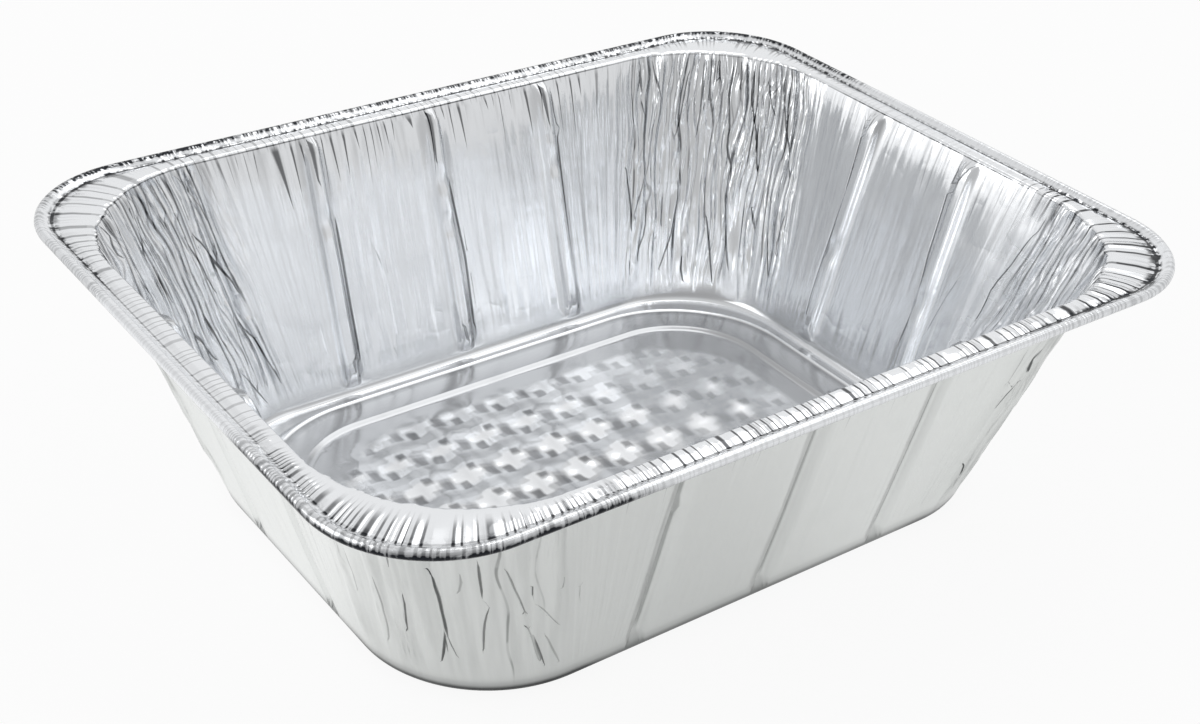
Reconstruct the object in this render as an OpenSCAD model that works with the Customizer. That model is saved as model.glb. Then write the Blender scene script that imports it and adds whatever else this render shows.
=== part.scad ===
// Deep half-size roasting pan pressed from one sheet of aluminium foil.
// The origin is the centre of the standing ring on the table, +X along the long side and +Z up.
// Sizes are millimetres. The sheet is one skin with an upper and an under side, drawn ring by ring.

/* [Rim] */
// Length over the rolled edge, along X
pan_l = 324; // [304:1:344]
// Width over the rolled edge, along Y
pan_w = 264; // [250:1:280]
// Height from the table to the top of the rolled edge
pan_h = 98.5; // [80:0.5:115]
// Corner radius of the outer edge
rim_r = 41; // [36:1:46]
// Radius of the rolled edge
bead_r = 1.7; // [1.5:0.1:2]
// How far the valley beside the rolled edge lies inside the outer edge
valley_in = 5.2; // [4.8:0.1:5.8]
// How far that valley lies below the top
valley_drop = 1.9; // [1.5:0.1:2.4]
// How far the middle of the flange lies inside the outer edge
flange_in = 8.2; // [7.6:0.1:9]
// How far the flange lies below the top
flange_drop = 1.1; // [0.8:0.1:1.5]
// How far the fold from flange to wall lies inside the outer edge
fold_in = 12; // [11:0.1:13]
// Corner radius of that fold
fold_r = 55; // [50:1:58]
// Height of the pleats in the flange
flange_pleat = 0.35; // [0.1:0.05:0.5]

/* [Wall] */
// Thickness of the sheet as drawn
sheet = 0.45; // [0.35:0.05:0.6]
// How far the foot of the wall lies inside the outer edge
foot_in = 41.5; // [38:0.5:44]
// Corner radius of the foot
foot_r = 46; // [42:1:50]
// Distance between ribs
rib_pitch = 51; // [44:1:54]
// Width of a rib at its base
rib_w = 7.5; // [6:0.5:9]
// Width of the flat crest of a rib
crest_w = 3.6; // [2:0.2:4]
// How far a rib stands in from the wall
rib_d = 2.8; // [1.5:0.1:3.5]
// Depth of the pleats in the corners of the wall
corner_pleat = 0.9; // [0.3:0.1:1.2]
// Depth of the short pleats just under the flange
hanging_pleat = 0.4; // [0.1:0.1:0.6]

/* [Floor] */
// How far the outer edge of the standing ring lies inside the foot
stand_in = 3.2; // [2.6:0.2:3.6]
// Width of the standing ring
stand_w = 2.6; // [2:0.2:3]
// How far the ridge round the floor lies inside the foot
ridge_in = 8.6; // [8:0.2:9.4]
// Height of the ridge above the table
ridge_z = 3.9; // [3.2:0.1:5]
// Corner radius of the ridge
ridge_r = 50; // [46:1:52]
// Width of the plain band inside the ridge
band_w = 11.5; // [9:0.5:13]
// How far the band lies below the ridge
band_drop = 0.7; // [0.4:0.1:1]
// Height of the embossed field above the table
field_z = 2.2; // [1.8:0.1:2.6]
// Distance after which the embossing repeats
emboss_pitch = 18.6; // [16:0.2:22]
// Height of a raised square, and depth of a sunken one
emboss_h = 0.8; // [0.3:0.1:1.1]
// Plain margin round the embossing
emboss_margin = 5.5; // [5:0.5:10]

/* [Hidden] */

foil_colour = [0.86, 0.87, 0.88];

// Steps of the drawing: cells between ribs on the long and short sides, and steps round a corner.
side_cells = 8;
end_cells = 7;
low_cells = 1;
corner_steps = 26;
plain_steps = 10;

// The rolled edge turns from just above the valley, over the top and under, back towards the wall.
bead_from = 270;
bead_to = 45;
bead_turns = 5;

// Heights of the wall rings, as shares of the wall from the fold down to the foot.
wall_top = 0.05;
wall_high = 0.4;
wall_low = 0.78;
wall_foot = 0.93;
foot_lift = 2;
foot_ease = 0.6;
band_ease = 1.6;
step_w = 2.4;

// Where the corner pleats are deepest, as shares of their depth at each wall ring.
pleat_top = 0.7;
pleat_low = 0.8;
pleat_foot = 0.45;
valley_share = 0.4;
fold_share = 0.7;
rib_top = 0.75;
wander = 0.28;
uneven = 0.5;

// Constants of the scatter that makes the pleats uneven, the same at every build.
scatter_step = 127.1;
scatter_shift = 311.7;
scatter_gain = 437.5;

quarter = 90;
loop_key = 8;
emboss_r = 44;
edge_angles = [60, 75];
cell = emboss_pitch / 4;

side_ribs = [-rib_pitch, 0, rib_pitch];
end_ribs = [-rib_pitch / 2, rib_pitch / 2];

fold_z = pan_h - flange_drop;

// A fixed number between 0 and 1 for place i of family s.
function scatter(i, s) =
    let (v = sin(i * scatter_step + s * scatter_shift) * scatter_gain)
    v - floor(v);

// Alternating sign inside a run of n steps, and nothing at its ends.
function zig(j, n) = j <= 0 || j >= n ? 0 : j % 2 == 1 ? 1 : -1;

// The same with uneven strength.
function rough(j, n, s) = zig(j, n) * (1 - uneven + uneven * 2 * scatter(j, s));

// Turns a place beside side q into the pan's frame.
function turned(e, p, q) =
    let (c = [1, 0, -1, 0][q], s = [0, 1, 0, -1][q])
    [e * c - p * s, e * s + p * c];

// Stations along one side from -h to h: place, rib share, pleat share, share of the side's key.
// With "crests" off, a rib has only the two marks of its base.
function stations(h, ribs, n, crests = true) = [
    for (i = [0 : len(ribs)])
        let (
            lo = i == 0 ? -h : ribs[i - 1] + rib_w / 2,
            hi = i == len(ribs) ? h : ribs[i] - rib_w / 2,
            all = 2 * len(ribs) + 1
        )
        each concat(
            [for (j = [0 : n]) [lo + (hi - lo) * j / n, 0, rough(j, n, i), (2 * i + j / n) / all]],
            i == len(ribs) || !crests
                ? []
                : [for (u = [-1, 1]) [ribs[i] + u * crest_w / 2, 1, 0, (2 * i + 3 / 2 + u / 4) / all]]
        )
];

// Half sizes of a ring that lies "inset" inside the outer edge: beyond side q, and along it.
function out_half(inset, q) = (q % 2 == 0 ? pan_l : pan_w) / 2 - inset;
function along_half(inset, q) = (q % 2 == 0 ? pan_w : pan_l) / 2 - inset;

// A ring is [inset, height, corner radius]. Every point of it is [x, y, z, key].
// A plain ring has no ribs or pleats. With "marked" it carries the marks of the ribs' bases.
function plain_ring(g, marked = false) = [
    for (q = [0 : 3])
        let (
            e = out_half(g[0], q),
            h = along_half(g[0], q) - g[2],
            ribs = q % 2 == 0 ? end_ribs : side_ribs,
            run = marked ? stations(h, ribs, 1, false) : [[-h, 0, 0, 0], [h, 0, 0, 1]]
        )
        each concat(
            [for (t = run) concat(turned(e, t[0], q), [g[1], 2 * q + t[3]])],
            [
                for (j = [1 : plain_steps - 1])
                    let (a = quarter * j / plain_steps)
                    concat(
                        turned(e - g[2] + g[2] * cos(a), h + g[2] * sin(a), q),
                        [g[1], 2 * q + 1 + a / quarter]
                    )
            ]
        )
];

// Angle of corner station j, which wanders a little from ring to ring.
function corner_angle(j, q, level) =
    quarter * (j + wander * (scatter(j + level, q + level) - 1 / 2) * 2 * (level > 0 ? 1 : 0)) / corner_steps;

// A wall ring: ribs of depth d, pleats of depth p round the corners and s along the sides.
function wall_ring(g, cells, d, p, s, level) = [
    for (q = [0 : 3])
        let (
            e = out_half(g[0], q),
            h = along_half(g[0], q) - g[2],
            run = stations(h, q % 2 == 0 ? end_ribs : side_ribs, cells[q % 2])
        )
        each concat(
            [
                for (t = run)
                    concat(turned(e - d * t[1] - s * t[2], t[0], q), [g[1], 2 * q + t[3]])
            ],
            [
                for (j = [1 : corner_steps - 1])
                    let (
                        a = corner_angle(j, q, level),
                        r = g[2] - p * rough(j, corner_steps, q + level)
                    )
                    concat(
                        turned(e - g[2] + r * cos(a), h + r * sin(a), q),
                        [g[1], 2 * q + 1 + a / quarter]
                    )
            ]
        )
];

// Where a line at angle a from the centre of the fold's corner meets a ring: place beyond and along side q, key.
function cast(c, a, e, f, r, q) =
    let (
        run_e = (e - c[0]) / cos(a),
        y = c[1] + run_e * sin(a),
        run_f = (f - c[1]) / sin(a),
        x = c[0] + run_f * cos(a),
        w = c - [e - r, f - r],
        b = w[0] * cos(a) + w[1] * sin(a),
        run = -b + sqrt(b * b - w * w + r * r),
        hit = c + run * [cos(a), sin(a)],
        turn = atan2(hit[1] - f + r, hit[0] - e + r)
    )
    y <= f - r ? [e, y, 2 * q + (y / (f - r) + 1) / 2]
    : x <= e - r ? [x, f, 2 * q + 2 + (1 - x / (e - r)) / 2]
    : [hit[0], hit[1], 2 * q + 1 + turn / quarter];

// A flange ring: its stations stand square outside those of the fold, and its pleats are p high.
function flange_ring(g, cells, p) = [
    for (q = [0 : 3])
        let (
            e = out_half(g[0], q),
            f = along_half(g[0], q),
            h = along_half(fold_in, q) - fold_r,
            run = stations(h, q % 2 == 0 ? end_ribs : side_ribs, cells[q % 2])
        )
        each concat(
            [
                for (t = run)
                    concat(turned(e, t[0], q), [g[1] + p * t[2], 2 * q + (t[0] / (f - g[2]) + 1) / 2])
            ],
            [
                for (j = [1 : corner_steps - 1])
                    let (
                        a = corner_angle(j, q, 0),
                        m = cast([out_half(fold_in, q) - fold_r, h], a, e, f, g[2], q)
                    )
                    concat(turned(m[0], m[1], q), [g[1] + p * rough(j, corner_steps, q), m[2]])
            ]
        )
];

// The section of the upper side, from the hidden end of the rolled edge to the floor.
bead_path = [
    for (i = [0 : bead_turns])
        let (a = bead_from + (bead_to - bead_from) * i / bead_turns)
        [bead_r + bead_r * cos(a), pan_h - bead_r + bead_r * sin(a), rim_r - bead_r - bead_r * cos(a)]
];
valley = [valley_in, pan_h - valley_drop, rim_r - valley_in];
flange = [flange_in, fold_z, (rim_r - flange_in + fold_r) / 2];
fold = [fold_in, fold_z, fold_r];
foot = [foot_in, 0, foot_r];
function wall(t) = fold + (foot - fold) * t;

stand_out = foot_in + stand_in;
ridge_at = foot_in + ridge_in;
band_at = ridge_at + band_ease;
field_at = band_at + band_w + step_w;
floor_path = [
    [foot_in + foot_ease, foot_lift, foot_r],
    [stand_out, sheet, foot_r],
    [stand_out + stand_w, sheet, (foot_r + ridge_r) / 2],
    [ridge_at, ridge_z, ridge_r],
    [band_at, ridge_z - band_drop, ridge_r - band_ease],
    [band_at + band_w, ridge_z - band_drop, ridge_r - band_ease - band_w]
];
field_r = ridge_r - band_ease - band_w - step_w;

path = concat(
    bead_path,
    [valley, flange, fold, wall(wall_top), wall(wall_high), wall(wall_low), wall(wall_foot)],
    floor_path
);

// Unit normal from the upper to the under side, for the run from path point i to the next.
function under(i) =
    let (v = [path[i + 1][0] - path[i][0], path[i + 1][1] - path[i][1]])
    [v[1], -v[0]] / norm(v);

// Path point i of the under side, one sheet away from the upper one.
function under_at(i) =
    let (
        n = i == 0 ? under(0) : i == len(path) - 1 ? [0, -1] : under(i - 1),
        m = i == len(path) - 1 ? [0, -1] : under(i),
        o = sheet * (n + m) / (1 + n * m)
    )
    path[i] + [o[0], o[1], -o[0]];

under_path = [for (i = [0 : len(path) - 1]) under_at(i)];

first_valley = len(bead_path);
first_floor = first_valley + 7;
fine = [end_cells, side_cells];
coarse = [low_cells, low_cells];

// All rings of one side of the sheet.
function rings(g) = concat(
    [for (i = [0 : first_valley - 1]) plain_ring(g[i])],
    [
        flange_ring(g[first_valley], fine, flange_pleat * valley_share),
        flange_ring(g[first_valley + 1], fine, flange_pleat),
        wall_ring(g[first_valley + 2], fine, 0, 0, -hanging_pleat * fold_share, 0),
        wall_ring(g[first_valley + 3], fine, rib_d * rib_top, corner_pleat * pleat_top, hanging_pleat, 0),
        wall_ring(g[first_valley + 4], coarse, rib_d, corner_pleat, 0, 1),
        wall_ring(g[first_valley + 5], coarse, rib_d, corner_pleat * pleat_low, 0, 2),
        wall_ring(g[first_valley + 6], coarse, rib_d, corner_pleat * pleat_foot, 0, 3)
    ],
    [for (i = [first_floor : len(g) - 1]) plain_ring(g[i], i == first_floor)]
);

// Half width of a rounded rectangle at height y.
function half_width(y, ex, ey, r) =
    abs(y) <= ey - r ? ex : abs(y) > ey ? 0 : ex - r + sqrt(max(0, r * r - pow(abs(y) - ey + r, 2)));

field_ex = pan_l / 2 - field_at;
field_ey = pan_w / 2 - field_at;
emboss_ex = field_ex - emboss_margin;
emboss_ey = field_ey - emboss_margin;
columns = floor(emboss_ex / cell - 1 / 2);
rows_up = floor(emboss_ey / cell - 1 / 2);

// Signs of the embossing, which change after every second column or row.
function sign_x(i) = floor((i + 1) / 2) % 2 == 0 ? 1 : -1;
function sign_y(j) = floor(j / 2) % 2 == 0 ? -1 : 1;

function edge_row(u) = [
    for (y = concat([field_ey], [for (a = [edge_angles[1], edge_angles[0]]) field_ey - field_r * (1 - sin(a))]))
        if (y > (rows_up + 1 / 2) * cell + cell / 4) u * y
];
function backwards(v) = [for (i = [len(v) - 1 : -1 : 0]) v[i]];

// Rows of the field from -Y to +Y. Each point is [x, y, height over the field].
field_rows = concat(
    [for (y = edge_row(-1)) let (w = half_width(y, field_ex, field_ey, field_r)) [[-w, y, 0], [w, y, 0]]],
    [
        for (j = [-rows_up - 1 : rows_up])
            let (
                y = (j + 1 / 2) * cell,
                w = half_width(y, field_ex, field_ey, field_r),
                v = half_width(y, emboss_ex, emboss_ey, emboss_r),
                live = half_width(abs(y) + cell, emboss_ex, emboss_ey, emboss_r) - cell
            )
            concat(
                [[-w, y, 0]],
                [
                    for (i = [-columns - 1 : columns])
                        let (x = (i + 1 / 2) * cell)
                        if (abs(x) <= v)
                            [x, y, abs(x) <= live ? emboss_h * (sign_x(i) + sign_y(j)) / 2 : 0]
                ],
                [[w, y, 0]]
            )
    ],
    [
        for (y = backwards(edge_row(1)))
            let (w = half_width(y, field_ex, field_ey, field_r))
            [[-w, y, 0], [w, y, 0]]
    ]
);

// Running totals of the lengths in a list of lists.
function starts(v) = [for (i = 0, s = 0; i < len(v); s = s + len(v[i]), i = i + 1) s];
function flat(v) = [for (a = v) each a];

field_starts = starts(field_rows);
field_count = len(flat(field_rows));
straight_y = field_ey - field_r;
row_count = len(field_rows);

// Key of the right-hand (u = 1) or left-hand (u = -1) end of a row at height y.
function end_key(y, u) =
    let (a = asin(min(1, max(0, (abs(y) - straight_y) / field_r))) / quarter)
    u > 0
        ? (y > straight_y ? 1 + a : y < -straight_y ? loop_key - a : (y / straight_y + 1) / 2)
        : (y > straight_y ? 4 - a : y < -straight_y ? 5 + a : 4 + (1 - y / straight_y) / 2);

// The edge of the field as a loop of [number, key], with numbers counted from "base".
function field_loop(base) =
    let (
        right = [
            for (j = [0 : row_count - 1])
                let (y = field_rows[j][0][1])
                [base + field_starts[j] + len(field_rows[j]) - 1, end_key(y, 1)]
        ],
        left = [
            for (j = [row_count - 1 : -1 : 0])
                let (y = field_rows[j][0][1])
                [base + field_starts[j], end_key(y, -1)]
        ]
    )
    concat([for (p = right) if (p[1] < 4) p], left, [for (p = right) if (p[1] >= 4) p]);

// The rings' points as loops of [number, key].
function loops(v, base) =
    let (s = starts(v))
    [for (i = [0 : len(v) - 1]) [for (j = [0 : len(v[i]) - 1]) [base + s[i] + j, v[i][j][3]]]];
function closed(v) = concat(v, [[v[0][0], v[0][1] + loop_key]]);

// The same loop with its points' numbers as keys, for rings that match point to point.
function counted(v) = [for (i = [0 : len(v) - 1]) [v[i][0], i]];

// True where the first chain takes the next step, having the nearer next key.
function leads(a, b, i, j) =
    j >= len(b) - 1 || (i < len(a) - 1 && a[i + 1][1] <= b[j + 1][1]);

// Triangles between two chains of [number, key].
function weave(a, b) = [
    for (
        i = 0, j = 0, go = leads(a, b, 0, 0);
        i + j < len(a) + len(b) - 2;
        i = go ? i + 1 : i, j = go ? j : j + 1, go = leads(a, b, i, j)
    )
        go ? [a[i][0], b[j][0], a[i + 1][0]] : [a[i][0], b[j][0], b[j + 1][0]]
];
function mirrored(v) = [for (t = v) [t[0], t[2], t[1]]];

// All triangles of one side: ring to ring, then the edge of the field, then its rows.
function side_faces(v, base) =
    let (
        ring_loops = loops(v, base),
        floor_base = base + len(flat(v)),
        last = field_loop(floor_base)
    )
    concat(
        [
            for (i = [0 : len(v) - 2])
                each len(v[i]) == len(v[i + 1])
                    ? weave(counted(closed(ring_loops[i])), counted(closed(ring_loops[i + 1])))
                    : weave(closed(ring_loops[i]), closed(ring_loops[i + 1]))
        ],
        weave(closed(ring_loops[len(v) - 1]), closed(last)),
        [
            for (j = [0 : row_count - 2])
                each weave(
                    [for (k = [0 : len(field_rows[j]) - 1]) [floor_base + field_starts[j] + k, field_rows[j][k][0]]],
                    [
                        for (k = [0 : len(field_rows[j + 1]) - 1])
                            [floor_base + field_starts[j + 1] + k, field_rows[j + 1][k][0]]
                    ]
                )
        ]
    );

function only_xyz(v) = [for (p = v) [p[0], p[1], p[2]]];
function field_points(z) = [for (p = flat(field_rows)) [p[0], p[1], z + p[2]]];

// The pan: upper side, under side, and the thin edge at the hidden end of the rolled edge.
module foil_pan() {
    upper = rings(path);
    lower = rings(under_path);
    upper_points = concat(only_xyz(flat(upper)), field_points(field_z));
    lower_points = concat(only_xyz(flat(lower)), field_points(field_z - sheet));
    base = len(upper_points);
    edge_faces = weave(closed(loops(lower, base)[0]), closed(loops(upper, 0)[0]));
    faces = concat(side_faces(upper, 0), mirrored(side_faces(lower, base)), edge_faces);
    echo(triangles = len(faces), upper_rings = [for (r = upper) len(r)], rows = row_count);
    color(foil_colour)
        polyhedron(points = concat(upper_points, lower_points), faces = faces, convexity = 10);
}

foil_pan();
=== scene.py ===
import math
from collections import defaultdict
from functools import partial, reduce
from types import SimpleNamespace
import bpy
import numpy as np
from mathutils import Matrix, Vector
from mathutils.geometry import delaunay_2d_cdt


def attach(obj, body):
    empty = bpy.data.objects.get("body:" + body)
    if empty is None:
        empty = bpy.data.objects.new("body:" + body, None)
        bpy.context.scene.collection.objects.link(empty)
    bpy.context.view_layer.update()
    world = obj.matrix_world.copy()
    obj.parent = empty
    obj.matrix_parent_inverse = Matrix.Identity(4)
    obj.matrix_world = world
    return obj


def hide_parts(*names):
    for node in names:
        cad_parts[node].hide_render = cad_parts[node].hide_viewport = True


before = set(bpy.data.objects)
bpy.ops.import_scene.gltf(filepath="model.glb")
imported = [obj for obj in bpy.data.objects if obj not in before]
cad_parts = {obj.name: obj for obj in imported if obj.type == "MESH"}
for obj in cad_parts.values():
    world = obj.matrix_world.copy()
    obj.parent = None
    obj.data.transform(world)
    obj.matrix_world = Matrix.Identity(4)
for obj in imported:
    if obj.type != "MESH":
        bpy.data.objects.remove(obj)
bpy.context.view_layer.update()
mm = 0.001


# helpers for building node trees, all for the tree that was opened last
work = {}


def newTree(name, kind, inputs, outputs):
    tree = work["tree"] = bpy.data.node_groups.new(name, kind)
    for label, socketType, value in inputs:
        socket = tree.interface.new_socket(name=label, in_out="INPUT", socket_type=socketType)
        if value is not None:
            socket.default_value = value
    for label, socketType in outputs:
        tree.interface.new_socket(name=label, in_out="OUTPUT", socket_type=socketType)
    return place("NodeGroupInput").outputs, place("NodeGroupOutput").inputs


def openTree(owner, output):
    owner.use_nodes = True
    work["tree"] = owner.node_tree
    work["tree"].nodes.clear()
    return place(output).inputs


def closeTree(ends, *values):
    for end, value in zip(ends, values):
        plug(end, value)
    return work["tree"]


def plug(socket, value):
    if isinstance(value, bpy.types.NodeSocket):
        work["tree"].links.new(value, socket)
    elif value is not None:
        socket.default_value = value


def place(kind, props={}, inputs={}):
    node = work["tree"].nodes.new(kind)
    for key, value in props.items():
        setattr(node, key, value)
    for key, value in inputs.items():
        plug(node.inputs[key], value)
    return node


def calc(operation, a, b=None, c=None, clamp=False):
    props = {"operation": operation, "use_clamp": clamp}
    return place("ShaderNodeMath", props, {0: a, 1: b, 2: c}).outputs[0]


plus, minus, times, over = (partial(calc, kind) for kind in ("ADD", "SUBTRACT", "MULTIPLY", "DIVIDE"))


def ramp(value, low, high, toLow=0.0, toHigh=1.0, kind="SMOOTHSTEP"):
    inputs = dict(enumerate((value, low, high, toLow, toHigh)))
    return place("ShaderNodeMapRange", {"interpolation_type": kind}, inputs).outputs[0]


def combine(x, y, z=0.0):
    return place("ShaderNodeCombineXYZ", {}, {0: x, 1: y, 2: z}).outputs[0]


def split(vector):
    return place("ShaderNodeSeparateXYZ", {}, {0: vector}).outputs


def vectors(operation, a, b):
    found = place("ShaderNodeVectorMath", {"operation": operation}, {0: a, "Scale" if operation == "SCALE" else 1: b}).outputs
    return found["Value" if operation == "DOT_PRODUCT" else "Vector"]


def noise(vector, scale, detail, rough=0.5, size="2D"):
    inputs = {"Vector": vector, "Scale": scale, "Detail": detail, "Roughness": rough}
    return place("ShaderNodeTexNoise", {"noise_dimensions": size}, inputs).outputs


# the camera stands at the photo's angle
view = {
    "target": (6.078 * mm, -14.574 * mm, 50 * mm),
    "distance": 652.4 * mm,
    "yaw": 37.616,
    "pitch": 31.139,
    "roll": -2.766,
    "lens": 56.128,
    "shiftX": -0.0343,
}


def makeCamera(v):
    yaw, pitch, roll = (math.radians(v[k]) for k in ("yaw", "pitch", "roll"))
    ahead = Vector((math.sin(yaw) * math.cos(pitch), math.cos(yaw) * math.cos(pitch), -math.sin(pitch)))
    right = Vector((math.cos(yaw), -math.sin(yaw), 0))
    down = ahead.cross(right)
    side = math.cos(roll) * right + math.sin(roll) * down
    drop = -math.sin(roll) * right + math.cos(roll) * down
    data = bpy.data.cameras.new("studioCamera")
    data.lens = v["lens"]
    data.sensor_width = 36
    data.shift_x = v["shiftX"]
    data.clip_start, data.clip_end = 0.02, 20
    camera = bpy.data.objects.new("studioCamera", data)
    bpy.context.scene.collection.objects.link(camera)
    turn = Matrix((side, -drop, -ahead)).transposed().to_4x4()
    camera.matrix_world = Matrix.Translation(Vector(v["target"]) - ahead * v["distance"]) @ turn
    bpy.context.scene.camera = camera


makeCamera(view)
print("stage: camera")

# the pan's blank, a section swept round the rim, all in millimetres until the mesh is made
blank = {
    "length": 324.0, "width": 264.0, "height": 98.5,
    "rimR": 41.0, "beadR": 1.7, "beadCurl": 0.35, "foldIn": 12.0, "foldR": 55.0, "valleyIn": 5.1,
    "ribPitch": 51.0, "ribWidth": 7.5,
    "cornerCells": 108, "sideCells": 14, "ribCells": 8,
    "fieldZ": 2.2, "gridStep": 2.325, "gridShift": 2.65, "gridClear": 0.9,
    "fieldHalf": (46.9, 16.9), "fieldR": 40.0, "fieldFade": 3.0, "weaveR": 38.5,  # the embossed field, a rounded box
    "wallStart": -0.018, "wallEnd": 1.1, "floorShift": 200.0,  # where finishes change, and the floor's place in the unrolled map
    "sheet": 0.45,
}
noRib = 99.0  # the rib offset of a station away from every rib, and longer than any distance on the sheet
# corners of the section: inset, height, ring radius, fillet radius, longest step towards it
section = [
    (5.2, 96.6, 35.8, 1.3, 1.0),
    (8.2, 97.4, 43.9, 3.0, 1.2),
    (12.0, 97.4, 55.0, 1.7, 1.3),
    (41.36, 0.45, 46.0, 6.5, 4.4),
    (47.3, 0.45, 48.0, 0.9, 2.0),
    (50.1, 3.9, 50.0, 0.8, 1.6),
    (51.7, 3.2, 48.4, 0.8, 1.2),
    (63.2, 3.2, 36.9, 1.6, 3.2),
    (65.6, 2.2, 34.5, 0.0, 1.4),
]
beadAngles = [410, 370, 330, 295, 262, 232, 205, 178, 150, 122, 96, 70, 45]
beadRow, flangeRow, wallRow, floorRow = 0, 1, 2, 3
zoneNames = ["Rim", "Wall", "Floor"]  # each has a finish of its own, inside and outside


def sectionRows(b):
    found = []
    for a in beadAngles:  # the rolled edge, from the free end that is curled inwards
        r = b["beadR"] - b["beadCurl"] * max(0, a - 270) / 140
        inset = b["beadR"] + r * math.cos(math.radians(a))
        found.append((inset, b["height"] - b["beadR"] + r * math.sin(math.radians(a)), b["rimR"] - inset, beadRow))
    last = np.array(found[-1][:3])
    for i, (x, z, ring, fillet, step) in enumerate(section):
        here = np.array((x, z, ring))
        corner = [here]
        if fillet:
            ahead = np.array(section[i + 1][:3])
            back, on = last - here, ahead - here
            backRun, onRun = np.linalg.norm(back[:2]), np.linalg.norm(on[:2])
            turn = math.pi - math.acos(np.clip(np.dot(back[:2], on[:2]) / backRun / onRun, -1, 1))
            reach = min(fillet * math.tan(turn / 2), 0.49 * onRun, 0.95 * backRun)
            a, c = here + back / backRun * reach, here + on / onRun * reach
            n = max(2, math.ceil(math.degrees(turn) / 19))
            corner = [(1 - k) ** 2 * a + 2 * k * (1 - k) * here + k * k * c for k in np.linspace(0, 1, n + 1)]
        span = np.linalg.norm((corner[0] - last)[:2])
        count = max(1, math.ceil(span / step))
        kind = flangeRow if i < 3 else wallRow if i == 3 else floorRow
        for k in range(1, count):
            share = (k / count) ** (1.2 if i == 3 else 1)
            found.append((*(last + (corner[0] - last) * share), kind))
        for j, p in enumerate(corner):
            found.append((*p, wallRow if i == 2 and j == len(corner) - 1 else flangeRow if i < 3 else floorRow))
        last = corner[-1]
    return found


def stationList(b):
    ribs = {0: [-b["ribPitch"] / 2, b["ribPitch"] / 2], 1: [-b["ribPitch"], 0, b["ribPitch"]]}
    half, n, m = b["ribWidth"] / 2, b["sideCells"], b["ribCells"]
    found = []  # side, fixed part and share of the half length, rib offset, corner angle
    for q in range(4):
        marks = ribs[q % 2]
        for i in range(len(marks) + 1):
            lo = None if i == 0 else marks[i - 1] + half
            hi = None if i == len(marks) else marks[i] - half
            for j in range(n):
                f = j / n
                if lo is None:
                    found.append((q, hi * f, f - 1, noRib, None))
                elif hi is None:
                    found.append((q, lo * (1 - f), f, noRib if j else half, None))
                else:
                    found.append((q, lo + (hi - lo) * f, 0.0, noRib if j else half, None))
            if i < len(marks):
                for j in range(m):
                    found.append((q, hi + 2 * half * j / m, 0.0, 2 * half * j / m - half, None))
        for j in range(b["cornerCells"]):
            found.append((q, 0.0, 1.0, noRib, 90 * j / b["cornerCells"]))
    start = next(k for k, (q, fixed, share, ribOff, angle) in enumerate(found)
                 if q == 2 and angle is None and share == 0 and ribOff == noRib and abs(fixed) < 1.5)
    start -= start % 2  # the seam of the unrolled sheet, in the middle of the -X side
    return found[start:] + found[:start]


def outHalf(b, q):
    return (b["length"] if q % 2 == 0 else b["width"]) / 2


def turned(e, p, q):
    c, s = ((1, 0), (0, 1), (-1, 0), (0, -1))[q]
    return e * c - p * s, e * s + p * c


def ringPoint(b, row, station):
    inset, z, ring, kind = row
    q, fixed, share, ribOff, angle = station
    e, f = outHalf(b, q) - inset, outHalf(b, q + 1) - inset
    if kind < wallRow:
        foldE, foldF = outHalf(b, q) - b["foldIn"] - b["foldR"], outHalf(b, q + 1) - b["foldIn"] - b["foldR"]
        if angle is None:
            return turned(e, fixed + share * foldF, q), turned(1, 0, q)
        a = math.radians(angle)
        ca, sa = max(math.cos(a), 1e-9), max(math.sin(a), 1e-9)
        y = foldF + (e - foldE) / ca * sa
        if y <= f - ring:
            return turned(e, y, q), turned(1, 0, q)
        x = foldE + (f - foldF) / sa * ca
        if x <= e - ring:
            return turned(x, f, q), turned(0, 1, q)
        wx, wy = foldE - (e - ring), foldF - (f - ring)
        bb = wx * ca + wy * sa
        run = -bb + math.sqrt(bb * bb - wx * wx - wy * wy + ring * ring)
        hx, hy = foldE + run * ca, foldF + run * sa
        return turned(hx, hy, q), turned((hx - e + ring) / ring, (hy - f + ring) / ring, q)
    h = f - ring
    if angle is None:
        return turned(e, fixed + share * h, q), turned(1, 0, q)
    a = math.radians(angle)
    return turned(e - ring + ring * math.cos(a), h + ring * math.sin(a), q), turned(math.cos(a), math.sin(a), q)


def fade(x):
    x = np.clip(x, 0, 1)
    return x * x * (3 - 2 * x)


# where the kinds of wear and painted shade set in or end, and how fast
reaches = {
    # inset from the rim, and height for the top of the rolled edge, in millimetres
    "flange": (3.6, 1.4), "inner": (7.5, 3.0), "beadEnd": (2.6, 1.4), "beadTop": (97.1, 0.8),
    # share of the way down the wall
    "stripEnd": (-0.015, 0.03), "plateEnd": (0.02, 0.1), "pleat": (-0.018, 0.03), "pleatEnd": (0.86, 0.2),
    "wall": (-0.01, 0.03), "plainWall": (-0.02, 0.1), "plainEnd": (0.93, 0.1), "rib": (0.0, 0.035), "ribEnd": (0.99, 0.07),
}


def begun(name, value):  # 0 before one kind of wear sets in, 1 where it is whole
    start, run = reaches[name]
    return fade((value - start) / run)


none = [0.0] * 4  # no wear on any side, or at any corner
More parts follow.
